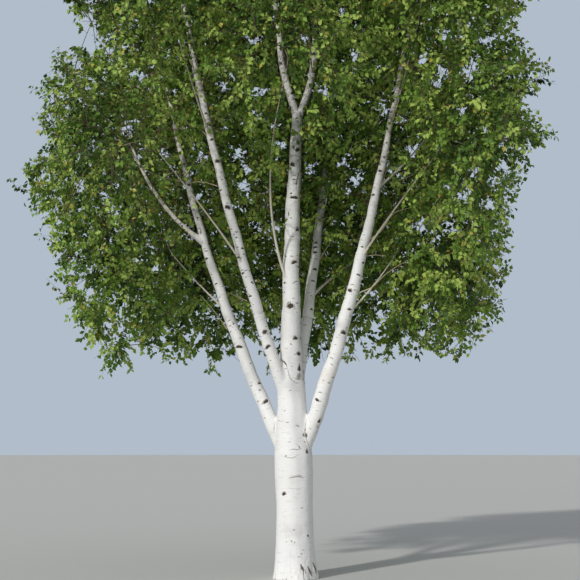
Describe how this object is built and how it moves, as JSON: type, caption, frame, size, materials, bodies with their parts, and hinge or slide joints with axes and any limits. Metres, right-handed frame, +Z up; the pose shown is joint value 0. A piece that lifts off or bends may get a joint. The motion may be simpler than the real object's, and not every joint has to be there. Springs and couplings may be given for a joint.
{
  "type": "himalayan birch",
  "caption": "Himalayan birch: a white, flared trunk forking low into rising leaders, with boughs and an open, rounded crown of hanging leaf sprays.",
  "frame": {"origin": "middle of the flat cut under the trunk, at ground level", "axes": "+Z up the trunk; -Y towards the side where the white leaders show under the crown; +X to the right of that view"},
  "size_m": [7.2015, 6.9527, 10.483],
  "materials": {
    "bark": "smooth white peeling birch bark with fine horizontal pores and dark branch scars",
    "leaves": "thin matt green leaves on fine tan twigs"
  },
  "bodies": {
    "root": {"bough_front": "bark", "bough_front_left": "bark", "bough_front_right": "bark", "bough_low_back": "bark", "bough_low_back_left": "bark", "bough_low_back_right": "bark", "bough_low_left": "bark", "bough_low_right": "bark", "bough_mid_back": "bark", "bough_mid_back_left": "bark", "bough_mid_back_right": "bark", "bough_mid_front_left": "bark", "bough_mid_front_right": "bark", "bough_mid_left": "bark", "bough_mid_right": "bark", "bough_upper_back_left": "bark", "bough_upper_front": "bark", "bough_upper_front_right": "bark", "foliage_front": "leaves", "foliage_front_left": "leaves", "foliage_front_right": "leaves", "foliage_low_back": "leaves", "foliage_low_back_left": "leaves", "foliage_low_back_right": "leaves", "foliage_low_left": "leaves", "foliage_low_right": "leaves", "foliage_mid_back": "leaves", "foliage_mid_back_left": "leaves", "foliage_mid_back_right": "leaves", "foliage_mid_front_left": "leaves", "foliage_mid_front_right": "leaves", "foliage_mid_left": "leaves", "foliage_mid_right": "leaves", "foliage_top_left": "leaves", "foliage_top_right": "leaves", "foliage_upper_back_left": "leaves", "foliage_upper_back_right": "leaves", "foliage_upper_front": "leaves", "foliage_upper_front_left": "leaves", "foliage_upper_front_right": "leaves", "foliage_upper_left": "leaves", "foliage_upper_right": "leaves", "leader_centre": "bark", "leader_centre_left": "bark", "leader_centre_right": "bark", "leader_left_inner": "bark", "leader_left_outer": "bark", "leader_right": "bark", "leader_right_rear": "bark", "trunk": "bark"}
  },
  "joints": []
}
